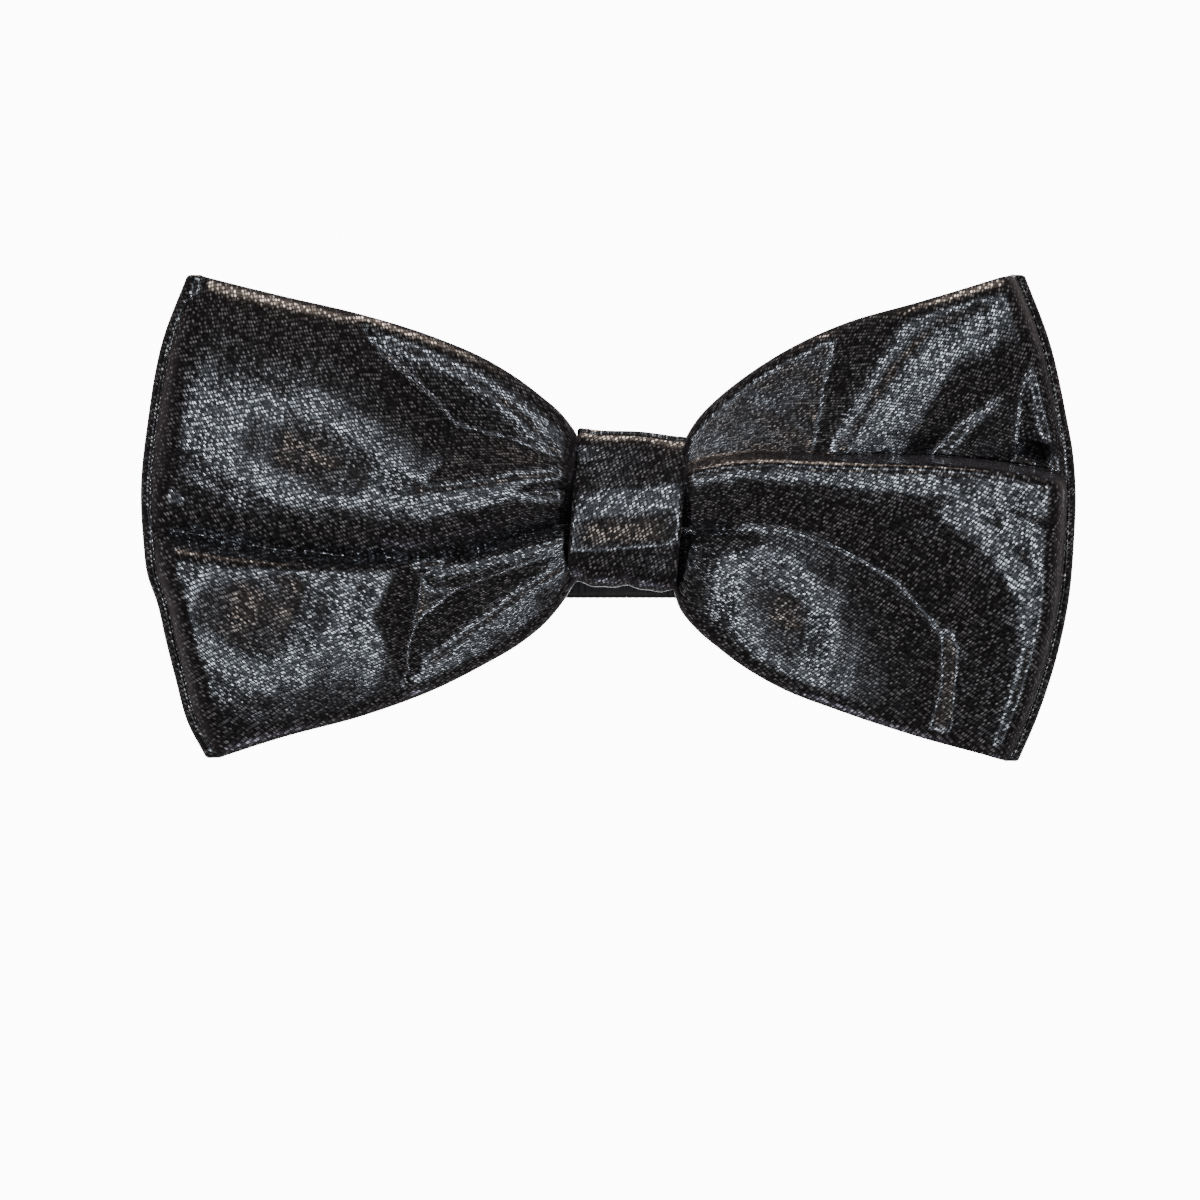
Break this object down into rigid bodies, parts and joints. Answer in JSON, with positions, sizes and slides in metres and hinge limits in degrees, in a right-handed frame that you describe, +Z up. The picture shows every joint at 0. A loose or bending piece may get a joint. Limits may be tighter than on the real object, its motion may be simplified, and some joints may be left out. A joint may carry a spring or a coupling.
{
  "type": "bow tie",
  "caption": "Pre-tied black satin bow tie: two folded wings gathered under a wrapped knot, on a backing ribbon with a sprung two-jaw collar clip.",
  "frame": {"origin": "centre of the collar clip, on the plane of the two jaws' rear faces", "axes": "+X to the viewer's right across the wings, +Y from the bow's front towards the wearer, +Z up as worn"},
  "size_m": [0.1196, 0.0189, 0.0619],
  "materials": {
    "satin": "glossy black twill-backed satin",
    "ribbon": "black woven ribbon",
    "interlining": "white non-woven interlining",
    "thread": "black polyester sewing thread",
    "nickel_steel": "bright nickel plate on stamped steel",
    "spring_steel": "drawn spring wire"
  },
  "bodies": {
    "bow": {"left_loop": "satin", "right_loop": "satin", "left_interlining": "interlining", "right_interlining": "interlining", "knot_band": "satin", "knot_padding": "interlining", "gathering_thread": "thread", "backing_ribbon": "ribbon", "backing_stitches_upper": "thread", "backing_stitches_lower": "thread", "left_clip_tack": "thread", "right_clip_tack": "thread", "clip_base": "nickel_steel", "left_hinge_pin": "nickel_steel", "right_hinge_pin": "nickel_steel", "left_torsion_spring": "spring_steel", "right_torsion_spring": "spring_steel"},
    "left_jaw": {"left_jaw": "nickel_steel"},
    "right_jaw": {"right_jaw": "nickel_steel"}
  },
  "joints": [
    {"name": "left_jaw_hinge", "type": "hinge", "parent": "bow", "child": "left_jaw", "pos_m": [-0.0065, -0.00165, 0], "axis": [0, 0, -1], "range_deg": [0, 24], "stiffness_Nm_per_rad": 0.03, "springref_deg": -40.11, "deforming": ["left_torsion_spring"]},
    {"name": "right_jaw_hinge", "type": "hinge", "parent": "bow", "child": "right_jaw", "pos_m": [0.0065, -0.00165, 0], "axis": [0, 0, 1], "range_deg": [0, 24], "stiffness_Nm_per_rad": 0.03, "springref_deg": -40.11, "deforming": ["right_torsion_spring"]}
  ]
}
